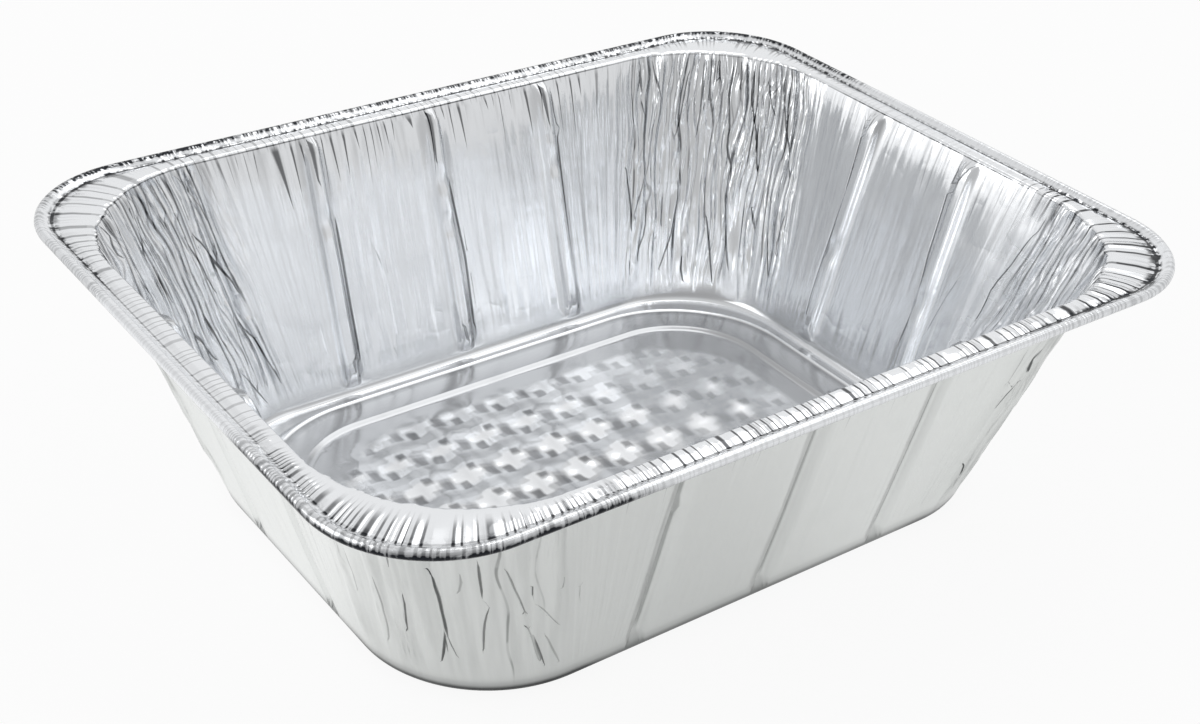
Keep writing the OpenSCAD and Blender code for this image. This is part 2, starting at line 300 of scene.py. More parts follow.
# where the sheet was pleated, dented and creased, and where shade is painted into its folds, in millimetres along the
# fold and per cent of the way down
wearAndShade = {
    # the corners are back, left, front and right, the sides +X, +Y, -X and -Y
    "cornerPleats": [1.0, 1.05, 0.7, 0.95], "pleatLines": [1.0, 0.8, 1.0, 0.7], "beadTails": [1.0, 0.25, 1.0, 1.0],
    "sideHanging": [0.4, 1.0, 0.4, 0.4],
    "spread": {  # other kinds of wear with the shade painted in their folds, and painted shade alone under the rolled edge, along the valley and fold, in crumples and at the foot, on the sides and at the corners
        "rough": (none, [0.0, 0.02, 0.0, 0.12]),
        "strip": ([0.12, 0.5, 0.35, 1.0], none),
        "bar": (none, [0.7, 0.15, 1.0, 0.2]),
        "plate": (none, [0.0, 0.55, 0.0, 1.0]),
        "bead": ([0.12, 0.8, 0.1, 0.12], [0.9, 1.0, 0.45, 0.28]),
        "under": (none, [0.25, 0.3, 1.0, 0.1]),
        "valley": ([1.0, 1.0, 0.5, 0.8], [0.5, 0.8, 0.3, 1.0]),
        "fold": ([0.9, 0.8, 0.2, 0.2], [0.4, 0.6, 0.2, 0.3]),
        "crumple": ([0.4, 0.8, 0.0, 0.0], [1.0, 0.7, 0.2, 1.0]),
        "foot": ([0.5, 0.5, 0.5, 0.5], [0.7, 0.7, 1.0, 0.7]),
    },
    "flare": 1.1, "flareReach": 6.0, "hangReach": 0.11, "pleatEdge": 0.3,
    # creases: how far their ends narrow, the width from which one narrows all the way down, how far they are felt
    "creaseTaper": 7.0, "spikeWidth": 2.4, "creaseReach": 2.2, "flatReach": 3.6, "noCrease": 9.0,
    "floorShades": [  # inset from the rim and how much painted shade dulls the highlights of the ridge, ring and floor there
        (41.4, 0.3), (42.4, 0.0), (43.4, 0.0), (44.4, 0.32), (48.6, 0.3), (49.6, 0.0), (50.8, 0.0), (51.4, 0.6),
        (53.5, 0.4), (55, 0.32), (61, 0.42), (62.8, 0.45), (64.5, 0.5), (65.6, 0.4),
    ],
    "fieldShade": 0.4,
    "pinches": [  # where a rib is pinched: side, rib, way down
        (1, 0, 30), (1, 0, 48), (1, 1, 34), (1, -1, 34), (0, 0.5, 64), (0, -0.5, 62), (3, -1, 34),
    ],
    "dents": [  # side, along, share down, reach along, reach down, depth towards the outside
        (1, 27, 0.55, 9, 22, 0.9), (1, -27, 0.42, 10, 30, -0.7), (1, -72, 0.5, 12, 26, 0.8),
        (1, 76, 0.38, 10, 20, 0.8), (0, 0, 0.45, 12, 30, 0.8), (0, -46, 0.4, 9, 22, -0.6), (0, 46, 0.5, 9, 24, 0.7),
        (3, -26, 0.5, 12, 28, -0.5), (3, 30, 0.45, 12, 30, 0.5), (2, 0, 0.5, 14, 30, 0.5), (2, 44, 0.5, 9, 24, -0.4),
    ],
    "creases": {  # side, depth (below 0 is a ridge), width, then places along from the side's middle and down
        "Out": [
            (2, 1, 1.49, [(107, 34), (109, 39), (110, 50), (110, 61), (110, 70), (108, 81), (106, 90)]),
            (2, 0.7, 0.68, [(110, 71), (111, 78), (113, 87)]), (2, 0.9, 1.08, [(97, 50), (97, 56), (96, 65), (95, 77)]),
            (2, 0.35, 0.81, [(75, 40), (75, 47), (76, 54), (75, 66)]),
            (2, 0.45, 0.94, [(86, 48), (87, 63), (86, 78), (85, 88)]), (2, 0.7, 1.08, [(95, 30), (94, 39)]),
            (2, 0.9, 1.22, [(124, 26), (124, 34), (124, 48)]), (2, 0.4, 1.35, [(118, 34), (118, 41), (116, 46)]),
            (2, 0.8, 0.94, [(126, 53), (124, 61), (123, 69), (122, 82)]),
            (2, 0.6, 0.9, [(132, 32), (134, 42), (136, 52), (138, 61)]), (2, 0.9, 1.22, [(140, 43), (140, 49)]),
            (2, 0.4, 0.68, [(141, 54), (144, 60), (147, 66), (150, 72)]),
            (2, 0.9, 1.08, [(137, 65), (140, 75), (142, 86), (144, 95)]), (2, 0.4, 0.81, [(138, 67), (140, 80), (142, 93)]),
            (2, 0.4, 0.94, [(151, 43), (150, 50)]), (3, 0.3, 0.81, [(-92, 52), (-92, 62)]),
            (2, 0.4, 1.08, [(144, 74), (147, 85), (150, 96)]), (3, 1, 1.62, [(98, 24), (99, 29), (100, 33)]),
            (3, 0.9, 1.08, [(99, 35), (97, 40), (96, 45), (95, 50)]), (3, 0.5, 1.08, [(101, 18), (98, 23)]),
            (3, 0.35, 1.08, [(91, 19), (92, 26), (92, 35)]), (3, 1, 1.22, [(98, 76), (102, 90)]),
        ],
        "In": [
            (1, 0.8, 0.9, [(112, 24), (111, 32), (110, 38), (110, 45), (109, 52)]),
            (1, 1, 1.1, [(108, 25), (104, 37), (103, 42), (100, 50), (100, 55)]),
            (1, 0.5, 0.7, [(105, 2), (103, 7), (100, 13), (100, 24)]), (1, 0.6, 1.8, [(100, 4), (100, 9)]),
            (1, 0.5, 0.7, [(120, 1), (122, 8), (123, 20)]),
            (1, 0.9, 0.9, [(131, 4), (132, 10), (134, 19), (137, 30), (139, 41)]),
            (1, 0.8, 1.3, [(133, 30), (134, 36), (134, 44)]), (1, 0.9, 0.9, [(154, 0), (152, 6), (154, 11), (152, 16)]),
            (1, 0.7, 1.2, [(146, 23), (146, 29), (143, 36)]), (1, 1, 1, [(120, 51), (118, 60), (118, 69), (118, 80)]),
            (1, 0.8, 1.2, [(128, 46), (129, 57), (126, 66), (122, 76)]),
            (1, 0.8, 0.8, [(106, 57), (104, 67), (101, 74), (100, 84), (98, 94)]),
            (1, 0.8, 0.9, [(114, 84), (111, 92), (108, 101)]), (1, 1, 1, [(100, 85), (98, 91), (98, 95)]),
            (1, 0.5, 0.7, [(107, 62), (108, 74), (108, 89)]),
            (0, 0.9, 1, [(125, 6), (126, 13), (127, 21), (128, 29), (130, 37)]),
            (0, 0.8, 0.9, [(119, 2), (119, 9), (119, 26), (120, 37)]), (0, 0.8, 0.9, [(114, 1), (114, 7), (114, 13)]),
            (0, 0.7, 0.8, [(112, 2), (112, 8), (110, 13)]),
            (0, 1, 1.1, [(106, 3), (106, 8), (107, 16), (105, 29), (105, 41), (102, 48), (102, 55)]),
            (0, 0.9, 1.1, [(103, 1), (102, 9), (102, 15)]),
            (0, 1, 1.2, [(96, 2), (96, 9), (96, 16), (94, 23), (91, 32), (90, 42), (88, 50)]),
            (0, 0.8, 0.8, [(89, 7), (88, 12), (84, 22)]), (0, 0.9, 1, [(82, 2), (82, 9), (78, 24), (72, 41), (70, 49)]),
            (0, 0.8, 0.9, [(142, 2), (141, 8), (137, 21)]), (0, 1, 1, [(154, 45), (152, 55), (150, 66), (150, 77)]),
            (0, 0.9, 0.9, [(142, 62), (142, 68), (142, 77), (145, 83), (146, 92)]),
            (0, 0.9, 1, [(134, 59), (134, 68), (134, 77)]),
            (0, 0.9, 0.9, [(127, 54), (126, 62), (128, 77), (131, 87), (134, 96)]),
            (0, 1, 1.1, [(112, 69), (110, 77), (108, 88), (105, 101)]), (0, 0.8, 1.5, [(102, 73), (100, 83), (97, 94)]),
            (0, 0.8, 1.4, [(90, 62), (88, 69), (86, 74)]), (0, 1, 1, [(79, 70), (78, 78), (76, 86), (74, 92)]),
            (0, 0.7, 1.2, [(69, 59), (71, 68), (72, 75), (71, 81)]), (0, 0.9, 1.3, [(122, 88), (122, 95), (120, 102)]),
            (0, 0.9, 1.1, [(150, 85), (150, 95)]), (0, 0.9, 1.2, [(148, 2), (147, 16)]), (0, 0.9, 1.1, [(147, 19), (145, 25)]),
            (0, 0.8, 0.9, [(82, 54), (79, 60)]), (0, 0.7, 0.9, [(150, 72), (146, 61), (143, 48)]),
            (1, 1, 3, [(51.5, 1), (51, 20)]), (1, 1, 3.2, [(1, 1), (1.5, 24)]), (1, 1, 2.8, [(-50.5, 1), (-51.5, 20)]),
            (1, 0.8, 0.8, [(-56, 4), (-56, 16), (-58, 22)]), (1, 1, 1.2, [(46, 34), (46, 63), (46, 96)]),
            (1, 1, 1.2, [(-4, 30), (-6, 65), (-5, 98)]), (1, 1, 1.2, [(-56, 22), (-55, 65), (-54, 100)]),
            (1, 0.7, 3, [(50, 93), (50, 100)]), (1, 0.6, 2.6, [(1, 93), (0, 101)]),
            (1, -0.5, 2.6, [(33, 49), (31, 58), (30, 67), (30, 77), (30, 89), (31, 98)]),
            (0, 0.8, 1, [(32, 5), (31, 17), (30, 39), (31, 59), (32, 87), (30, 100)]), (0, 0.9, 0.9, [(26, 2), (27, 9)]),
            (0, 0.8, 1, [(-20, 4), (-19, 16), (-20, 43), (-22, 64), (-20, 86)]), (0, 1, 0.9, [(-27, 1), (-24, 9), (-24, 12)]),
            (0, 0.4, 1, [(-41, 44), (-37, 56), (-32, 75)]),
            (0, 0.9, 0.9, [(-65, 15), (-64, 21), (-63, 30), (-60, 42), (-61, 52), (-60, 60)]),
            (3, 0.8, 0.9, [(173, 13), (173, 18)]), (3, 0.9, 1, [(169, 34), (168, 39), (168, 43)]),
            (3, 0.9, 1, [(164, 30), (164, 35), (164, 39)]), (3, 0.6, 0.9, [(159, 17), (159, 23), (158, 30)]),
            (3, 0.7, 0.9, [(180, 43), (180, 49), (181, 53)]), (3, 0.8, 0.9, [(171, 2), (171, 7), (171, 9)]),
            (3, 0.5, 0.7, [(184, 6), (184, 12), (184, 15)]), (3, 0.6, 0.8, [(167, 3), (168, 11)]),
        ],
    },
}


# how far along the fold each station is, and how far below it each row
def measureSheet(b):
    s = SimpleNamespace(rows=sectionRows(b), stations=stationList(b))
    s.vertices, s.normals, s.index, s.faces, s.corners, s.zones = [], [], [], [], [], []
    s.data = defaultdict(list)  # an attribute of the mesh for each name, a value for each point
    s.count = len(s.stations)
    walls = [i for i, row in enumerate(s.rows) if row[3] == wallRow]
    spots = [ringPoint(b, s.rows[walls[0]], station)[0] for station in s.stations]
    around, down = [0.0], [0.0]
    for (x0, y0), (x1, y1) in zip(spots, spots[1:] + spots[:1]):
        around.append(around[-1] + math.hypot(x1 - x0, y1 - y0))
    for a, c in zip(s.rows, s.rows[1:]):
        down.append(down[-1] + math.hypot(c[0] - a[0], c[1] - a[1]))
    s.around, s.down = np.array(around), np.array(down) - down[walls[0]]
    s.wallRun = s.down[walls[-1]]
    s.fall = s.down / s.wallRun
    s.places = {
        "valley": s.down[next(i for i, row in enumerate(s.rows) if row[3] != beadRow and row[0] > b["valleyIn"])] * mm,
        "foot": s.down[walls[-1] + 1] * mm,
    }
    return s


# how strongly each station is pleated, worn and painted with shade, from the middle of a corner out on to the sides
def spreadWearAndShade(b, w, s):
    s.along, s.local = np.zeros(s.count), defaultdict(lambda: np.zeros(s.count))
    for i, (q, fixed, share, ribOff, angle) in enumerate(s.stations):
        half = outHalf(b, q + 1) - b["foldIn"] - b["foldR"]
        if angle is None:
            s.along[i] = p = fixed + share * half
            toCorner, corner = half - abs(p), q if p > 0 else (q + 3) % 4
            pleat = w["pleatEdge"] * (1 - fade(toCorner / 11))
            rounded, tail = 1 - fade((toCorner - 2) / 26), float(p <= 0)
        else:
            s.along[i] = half + angle
            corner = q
            pleat = w["pleatEdge"] + (1 - w["pleatEdge"]) * fade(min(angle, 90 - angle) / 5)
            rounded, tail = 1.0, fade((angle - 25) / 40)
        values = {name: sides[q] + (ends[corner] - sides[q]) * rounded for name, (sides, ends) in w["spread"].items()}
        values["bead"] *= 1 - (1 - w["beadTails"][corner]) * tail * rounded
        values["ribOff"], values["rounded"] = ribOff, rounded
        values["pleat"] = pleat * w["cornerPleats"][corner]
        values["line"] = values["pleat"] * w["pleatLines"][corner]
        values["hang"] = w["sideHanging"][q] * (1 - 0.7 * rounded)
        for name, value in values.items():
            s.local[name][i] = value


# one point of a row: its place, the way it is pressed and how deep a rib is there
def sweepPoint(b, w, s, r, i, slope):
    row, fall = s.rows[r], s.fall[r]
    q, fixed, share, ribOff, angle = s.stations[i]
    (x, y), (ox, oy) = ringPoint(b, row, s.stations[i])
    n = np.array((ox * slope[1], oy * slope[1], slope[0]))
    dent = 0.0
    if 0 < fall < 1.05 and angle is None:
        for side, at, deep, reachAlong, reachDown, depth in w["dents"]:
            if side == q:
                away = ((s.along[i] - at) / reachAlong) ** 2 + ((fall - deep) * s.wallRun / reachDown) ** 2
                dent += depth * math.exp(-away)
    if 0 < fall < 1:  # the wall flares out towards the fold
        flare = w["flare"] * (1 - 0.8 * s.local["rounded"][i])
        dent -= flare * (1 - math.exp(-fall * s.wallRun / w["flareReach"])) * (1 - fade(fall))
    ribShare = begun("rib", fall) * (1 - begun("ribEnd", fall))
    for side, rib, deep in w["pinches"]:
        if side == q and ribOff < noRib and abs(fixed - ribOff - rib * b["ribPitch"]) < 1:
            ribShare *= 1 - 0.4 * math.exp(-((fall * 100 - deep) / 2.2) ** 2)
    return (x - n[0] * dent, y - n[1] * dent, row[1] - n[2] * dent), n, ribShare


def sweepRows(b, w, s):
    for r, (inset, z, ring, kind) in enumerate(s.rows):
        before, after = s.rows[max(r - 1, 0)], s.rows[min(r + 1, len(s.rows) - 1)]
        di, dz = after[0] - before[0], after[1] - before[1]
        size = math.hypot(di, dz)
        step = 1 if kind in (flangeRow, wallRow) else 2
        points = [sweepPoint(b, w, s, r, i, (di / size, dz / size)) for i in range(0, s.count, step)]
        places, ways, ribShares = zip(*points)
        s.index.append(list(range(len(s.vertices), len(s.vertices) + len(points))))
        s.vertices += places
        s.normals += ways

        # what the finish and the press read, each kind of wear and of painted shade times its share of this row
        fall, onBead = s.fall[r], kind == beadRow
        flange = 0.0 if onBead else begun("flange", inset)
        strip = flange * (1 - begun("stripEnd", fall))
        pleating = begun("pleat", fall) * (1 - begun("pleatEnd", fall))
        onWall = begun("wall", fall) if fall < 1.06 else 0.0
        plain = {
            "around": s.around[:s.count:step] * mm, "down": s.down[r] * mm,
            "ribOff": s.local["ribOff"][::step] * mm, "ribShare": ribShares,
            "wallShare": begun("plainWall", fall) * (1 - begun("plainEnd", fall)),
            "floorShade": np.interp(inset, *zip(*w["floorShades"])) if kind == floorRow else 0.0,
            "fieldShare": 0.0, "weaveShare": 0.0,
        }
        wornAndShaded = {
            "pleatShare": ("pleat", pleating), "pleatShadeShare": ("line", pleating), "roughShare": ("rough", pleating),
            "hangShare": ("hang", onWall * math.exp(-max(fall, 0) / w["hangReach"])), "hangShadeShare": ("hang", onWall),
            "stripShare": ("strip", strip), "barShare": ("bar", strip * (1 - begun("inner", inset))),
            "plateShare": ("plate", flange * (1 - begun("plateEnd", fall))),
            "beadShare": ("bead", 1 - begun("beadEnd", inset)),
            "underShadeShare": ("under", (1 - begun("beadTop", z)) * onBead),
            "valleyShadeShare": ("valley", 1.0), "valleyCrumpleShade": ("crumple", 1.0),
            "foldShadeShare": ("fold", 1.0), "footShadowShare": ("foot", 1.0),
        }
        plain.update({name: s.local[key][::step] * amount for name, (key, amount) in wornAndShaded.items()})
        for name, value in plain.items():
            s.data[name] += list(np.full(len(points), value))


# faces between the rows, with the place of each corner on the unrolled sheet; some rows have half the points
def joinRows(b, s):
    for r, (a, c) in enumerate(zip(s.index, s.index[1:])):
        fall = s.fall[r + 1]
        zone = "Rim" if fall < b["wallStart"] else "Wall" if fall < b["wallEnd"] else "Floor"
        for k in range(min(len(a), len(c))):
            if len(a) == len(c):
                polys = [[(a, k, r), (a, k + 1, r), (c, k + 1, r + 1), (c, k, r + 1)]]
            elif len(a) > len(c):
                polys = [[(a, 2 * k, r), (a, 2 * k + 1, r), (c, k, r + 1)],
                         [(a, 2 * k + 1, r), (c, k + 1, r + 1), (c, k, r + 1)],
                         [(a, 2 * k + 1, r), (a, 2 * k + 2, r), (c, k + 1, r + 1)]]
            else:
                polys = [[(a, k, r), (c, 2 * k + 1, r + 1), (c, 2 * k, r + 1)],
                         [(a, k, r), (a, k + 1, r), (c, 2 * k + 1, r + 1)],
                         [(a, k + 1, r), (c, 2 * k + 2, r + 1), (c, 2 * k + 1, r + 1)]]
            for poly in polys:
                s.zones.append(zoneNames.index(zone))
                s.faces.append([line[j % len(line)] for line, j, row in poly])
                s.corners.append([(s.around[j * (s.count // len(line))] * mm, s.down[row] * mm) for line, j, row in poly])


# the floor inside the last ring, with points on the lattice of the embossing
def fillFloor(b, w, s):
    inset, z, radius, kind = s.rows[-1]
    inner = s.index[-1]
    outline = [Vector(s.vertices[i][:2]) for i in inner]
    ex, ey = outHalf(b, 0) - inset, outHalf(b, 1) - inset
    extra = []
    step, clear = b["gridStep"], b["gridClear"]
    for j in range(-int(ey / step) - 1, int(ey / step) + 2):
        for i in range(-int(ex / step) - 1, int(ex / step) + 2):
            x, y = i * step - b["gridShift"], j * step
            out = math.hypot(max(abs(x) - ex + radius, 0), max(abs(y) - ey + radius, 0))
            if radius - out > clear and abs(x) < ex - clear and abs(y) < ey - clear:
                extra.append(Vector((x, y)))
    spots, _, tris, origin, _, _ = delaunay_2d_cdt(outline + extra, [], [list(range(len(outline)))], 1, 1e-6)
    known = {}
    for k, spot in enumerate(spots):
        source = [o for o in origin[k] if o < len(outline)]
        if source:
            known[k] = inner[source[0]]
            continue
        known[k] = len(s.vertices)
        s.vertices.append((spot[0], spot[1], b["fieldZ"]))
        s.normals.append(np.array((0.0, 0.0, 1.0)))
        out = math.hypot(*(max(abs(spot[i]) - b["fieldHalf"][i], 0) for i in (0, 1)))
        own = {"ribOff": noRib * mm, "down": s.down[-1] * mm, "fieldShare": 1.0, "floorShade": w["fieldShade"],
               "weaveShare": 1 - fade((out - b["weaveR"]) / b["fieldFade"])}
        for name in s.data:
            s.data[name].append(own.get(name, 0.0))
    for t in tris:
        s.zones.append(zoneNames.index("Floor"))
        s.faces.append([known[k] for k in t])
        s.corners.append([(s.vertices[known[k]][0] * mm, (b["floorShift"] + s.vertices[known[k]][1]) * mm) for k in t])


# the distance to the nearest crease, its width and depth, so that the foil's finish can draw it fine, as a groove with
# painted shade in it
def drawCreases(b, w, s):
    us, vs = np.array(s.data["around"]) / mm, np.array(s.data["down"]) / mm
    onSheet = np.arange(len(us)) <= s.index[-1][-1]
    whole = s.around[-1]
    for skin, creases in w["creases"].items():
        off, near = np.full((2, len(us)), w["noCrease"])
        width, tone = np.zeros((2, len(us)))
        for q, depth, wide, path in creases:
            own = sorted((i for i, station in enumerate(s.stations) if station[0] == q), key=lambda i: s.along[i])
            pu = np.interp([c[0] for c in path], s.along[own], np.unwrap(s.around[own], period=whole))
            pv = np.array([c[1] for c in path]) * s.wallRun / 100
            u = (us - pu[0] + whole / 2) % whole - whole / 2 + pu[0]
            runs = np.hypot(np.diff(pu), np.diff(pv))
            total, done = runs.sum(), 0.0
            spike = wide > w["spikeWidth"] and path[0][1] < 5
            taper = total if spike else min(w["creaseTaper"], total * 0.45)
            flat = max(c[0] for c in path) < outHalf(b, q + 1) - b["foldIn"] - b["foldR"]
            reach = wide / 2 + w["flatReach" if flat else "creaseReach"]
            for k, run in enumerate(runs):
                du, dv = (pu[k + 1] - pu[k]) / run, (pv[k + 1] - pv[k]) / run
                t = (u - pu[k]) * du + (vs - pv[k]) * dv
                side = (u - pu[k]) * dv - (vs - pv[k]) * du
                away = np.hypot(side, np.maximum(np.maximum(-t, t - run), 0))
                closer = onSheet & (away < np.abs(off)) & (away < reach)
                gone = done + np.clip(t, 0, run)
                toEnd = total - gone if spike else np.minimum(gone, total - gone)
                share = np.clip(toEnd / taper, 0, 1) ** (0.8 if spike else 0.5)
                within = (t > -0.5) & (t < run + 0.5)
                off[closer] = np.where(side < 0, -away, away)[closer]
                width[closer] = np.where(within, wide * share, 0)[closer]
                tone[closer] = depth
                near[closer] = away[closer] * (0.4 if flat else 1)
                done += run
        for name, values in (("Off", off * mm), ("Width", width * mm), ("Tone", tone), ("Near", near * mm)):
            s.data["crease" + name + skin] = values


def buildBlank(b, w):
    s = measureSheet(b)
    spreadWearAndShade(b, w, s)
    sweepRows(b, w, s)
    joinRows(b, s)
    fillFloor(b, w, s)
    drawCreases(b, w, s)
    mesh = bpy.data.meshes.new("panBlank")
    mesh.from_pydata([Vector(v) * mm for v in s.vertices], [], s.faces)
    mesh.polygons.foreach_set("use_smooth", [True] * len(mesh.polygons))
    mesh.attributes.new("zone", "INT", "FACE").data.foreach_set("value", np.array(s.zones, np.int32))
    layer = mesh.uv_layers.new(name="unrolled")
    layer.data.foreach_set("uv", [c for poly in s.corners for pair in poly for c in pair])
    press = mesh.attributes.new("press", "FLOAT_VECTOR", "POINT")
    press.data.foreach_set("vector", np.array(s.normals, np.float32).ravel())
    for name, values in s.data.items():
        mesh.attributes.new(name, "FLOAT", "POINT").data.foreach_set("value", np.array(values, np.float32))
    mesh.update()
    print("stage: blank with", len(s.rows), "rows,", s.count, "stations and", len(mesh.polygons), "faces")
    return mesh, s.places


blankMesh, places = buildBlank(blank, wearAndShade)


# three fixed draws between 0 and 1 for each value
def drawn(value):
    return split(place("ShaderNodeTexWhiteNoise", {"noise_dimensions": "1D"}, {"W": value}).outputs["Color"])


# pleats side by side on unrolled coordinates, for shader groups and for the press tree alike
def pleatNodes(vector, pitch, run, wander, line, rarity, seed):
    parts = split(vector)
    x, y = over(parts[0], pitch), over(parts[1], run)
    drift = noise(combine(times(x, 0.16), times(y, 1.5), seed), 1.0, 1.0, 0.4, "3D")[0]
    phase = plus(x, times(minus(drift, 0.5), wander))
    inside = calc("FRACT", phase)
    edge = calc("MINIMUM", inside, minus(1.0, inside))

    def lot(value, shift):  # a fixed draw for each pleat, how far down it still lives and where it breaks off
        whole = plus(value, plus(seed, shift))
        lots = drawn(whole)
        end = ramp(lots[0], 0.0, 1.0, 0.7, 2.4, "LINEAR")
        alive = ramp(y, minus(end, 0.22), end, 1.0, 0.0)
        gate = noise(combine(times(whole, 3.7), over(parts[1], 13 * mm)), 1.0, 0.0)[0]
        unbroken = calc("MAXIMUM", ramp(gate, 0.36, 0.5, 0.4, 1.0), ramp(y, 0.3, 0.7, 1.0, 0.0))
        return lots[1], times(alive, unbroken)

    share, alive = lot(calc("FLOOR", phase), 0.37)
    strength = ramp(share, 0.3, 0.7, -0.8, 1.0)
    height = times(times(ramp(edge, 0.0, 0.34), strength), alive)
    share, alive = lot(calc("ROUND", phase), 5.91)
    # the mask marks each pleat's crease, where the finish paints shade
    mask = times(ramp(edge, times(line, 0.3), line, 1.0, 0.0), times(ramp(share, rarity, 1.0), alive))
    return height, mask


# folds that start at one line, each with a length and width of its own
def spikeNodes(vector, pitch, start, length, width, wander, rarity, seed):
    parts = split(vector)
    x, y = over(parts[0], pitch), minus(parts[1], start)
    sway = plus(calc("SINE", calc("MULTIPLY_ADD", x, 0.37, seed)), calc("SINE", calc("MULTIPLY_ADD", x, 0.93, seed)))
    phase = calc("MULTIPLY_ADD", sway, wander, x)
    whole = calc("ROUND", phase)
    lots = drawn(plus(whole, plus(seed, 0.37)))
    end = times(length, ramp(lots[0], 0.0, 1.0, 0.2, 1.0))
    t = over(y, end, clamp=True)
    off = minus(phase, whole)
    leaning = plus(off, times(minus(lots[1], 0.5), times(t, 0.5)))
    broad = times(over(width, pitch), ramp(lots[1], 0.0, 1.0, 0.35, 1.0, "LINEAR"))
    broad = calc("MAXIMUM", times(broad, minus(1.0, t)), 0.0001)
    # the mask marks each fold, where the finish paints shade
    mask = ramp(calc("ABSOLUTE", leaning), times(broad, 0.35), broad, 1.0, 0.0)
    mask = times(times(mask, calc("GREATER_THAN", lots[2], rarity)), calc("GREATER_THAN", y, 0.0))
    hump = calc("MULTIPLY_ADD", times(off, off), -4.0, 1.0)
    return times(hump, ramp(lots[1], 0.0, 1.0, -0.8, 1.0, "LINEAR")), mask


# from -1 to 1 and back along a coordinate, with flat tops and feet
def trapezoidNodes(value, pitch, shift):
    folded = calc("PINGPONG", plus(value, shift), over(pitch, 2))
    quarter = over(pitch, 4)
    return ramp(folded, times(quarter, 0.5), times(quarter, 1.5), 1.0, -1.0, "LINEAR")


pressing = {
    "Rib Depth": 2.8 * mm, "Rib Width": blank["ribWidth"] * mm, "Crest Width": 4.2 * mm,
    "Pleat Depth": 0.75 * mm, "Pleat Pitch": 2.9 * mm, "Pleat Run": 62 * mm, "Swell Depth": 0.9 * mm,
    "Hanging Depth": 0.5 * mm, "Emboss Height": 0.7 * mm, "Emboss Pitch": 18.6 * mm, "Emboss Shift": blank["gridShift"] * mm,
    "Waviness": 1.3 * mm, "Seed": 4.0,
}


def pressTree(settings):
    inputs = [("Geometry", "NodeSocketGeometry", None)]
    inputs += [(k, "NodeSocketFloat", v) for k, v in settings.items()] + [("Material", "NodeSocketMaterial", None)]
    given, ends = newTree("pressFoil", "GeometryNodeTree", inputs, [("Geometry", "NodeSocketGeometry")])

    def read(name, kind="FLOAT"):
        return place("GeometryNodeInputNamedAttribute", {"data_type": kind}, {"Name": name}).outputs[0]

    def pleats(pitchShare, runShare, wander, seedShift):
        seed = plus(given["Seed"], seedShift)
        pitch, run = times(given["Pleat Pitch"], pitchShare), times(given["Pleat Run"], runShare)
        return pleatNodes(unrolled, pitch, run, wander, 0.2, 0.3, seed)[0]

    unrolled = combine(read("around"), read("down"))
    spot = place("GeometryNodeInputPosition").outputs[0]
    where = split(spot)

    # ribs pressed in from the outside
    crest, half = times(given["Crest Width"], 0.5), times(given["Rib Width"], 0.5)
    rib = ramp(calc("ABSOLUTE", read("ribOff")), crest, half, 1.0, 0.0)
    rib = times(times(rib, given["Rib Depth"]), read("ribShare"))

    # pleats of the corners, fine ones on broad ones, and short ones that hang from the flange
    fine, swell = pleats(1.0, 1.0, 3.6, 0.0), pleats(3.3, 1.0, 2.0, 7.0)
    pleat = times(plus(times(fine, given["Pleat Depth"]), times(swell, given["Swell Depth"])), read("pleatShare"))
    hanging = times(times(pleats(1.5, 0.25, 2.0, 3.0), given["Hanging Depth"]), read("hangShare"))

    # slack of the plain walls
    slack = place("ShaderNodeTexNoise", {"noise_dimensions": "4D"},
                  {"Vector": spot, "W": given["Seed"], "Scale": 24.0, "Detail": 2.0, "Roughness": 0.4})
    slack = times(times(minus(slack.outputs[0], 0.5), given["Waviness"]), read("wallShare"))

    # embossing of the floor, raised and sunken squares with plain corners, softer towards +X as in the photo
    pitch = given["Emboss Pitch"]
    past = [calc("MAXIMUM", minus(calc("ABSOLUTE", where[i]), blank["fieldHalf"][i] * mm), 0.0) for i in (0, 1)]
    out = calc("SQRT", plus(times(past[0], past[0]), times(past[1], past[1])))
    edge = blank["fieldR"] * mm
    live = times(ramp(out, edge, edge + blank["fieldFade"] * mm, 1.0, 0.0), ramp(where[0], -10 * mm, 50 * mm, 1.0, 0.45))
    sx = trapezoidNodes(where[0], pitch, given["Emboss Shift"])
    sy = trapezoidNodes(where[1], pitch, times(pitch, 0.75))
    emboss = times(plus(times(sx, 0.64), times(sy, 0.36)), given["Emboss Height"])
    emboss = times(times(emboss, live), read("fieldShare"))

    total = plus(plus(plus(rib, pleat), plus(hanging, slack)), emboss)
    push = vectors("SCALE", read("press", "FLOAT_VECTOR"), total)
    moved = place("GeometryNodeSetPosition", {}, {"Geometry": given["Geometry"], "Offset": push})
    real = place("GeometryNodeRealizeInstances", {}, {"Geometry": moved.outputs[0]})
    dressed = place("GeometryNodeSetMaterial", {}, {"Geometry": real.outputs[0], "Material": given["Material"]})
    return closeTree(ends, dressed.outputs[0])


# shader groups for the foil's finishes, and for the light and shade painted into them
def shaderGroup(name, inputs, outputs):
    inputs = [(k, "NodeSocketVector" if k == "Vector" else "NodeSocketFloat", v) for k, v in inputs.items()]
    return newTree(name, "ShaderNodeTree", inputs, [(k, "NodeSocketFloat") for k in outputs])


def lineGroup(name, nodes, inputs):  # the inputs stand in the order that nodes takes them in
    # Height lifts the surface, Line is the mask for painted shade along the fold
    given, ends = shaderGroup(name, {"Vector": None, **inputs}, ["Height", "Line"])
    return closeTree(ends, *nodes(*list(given)[:-1]))


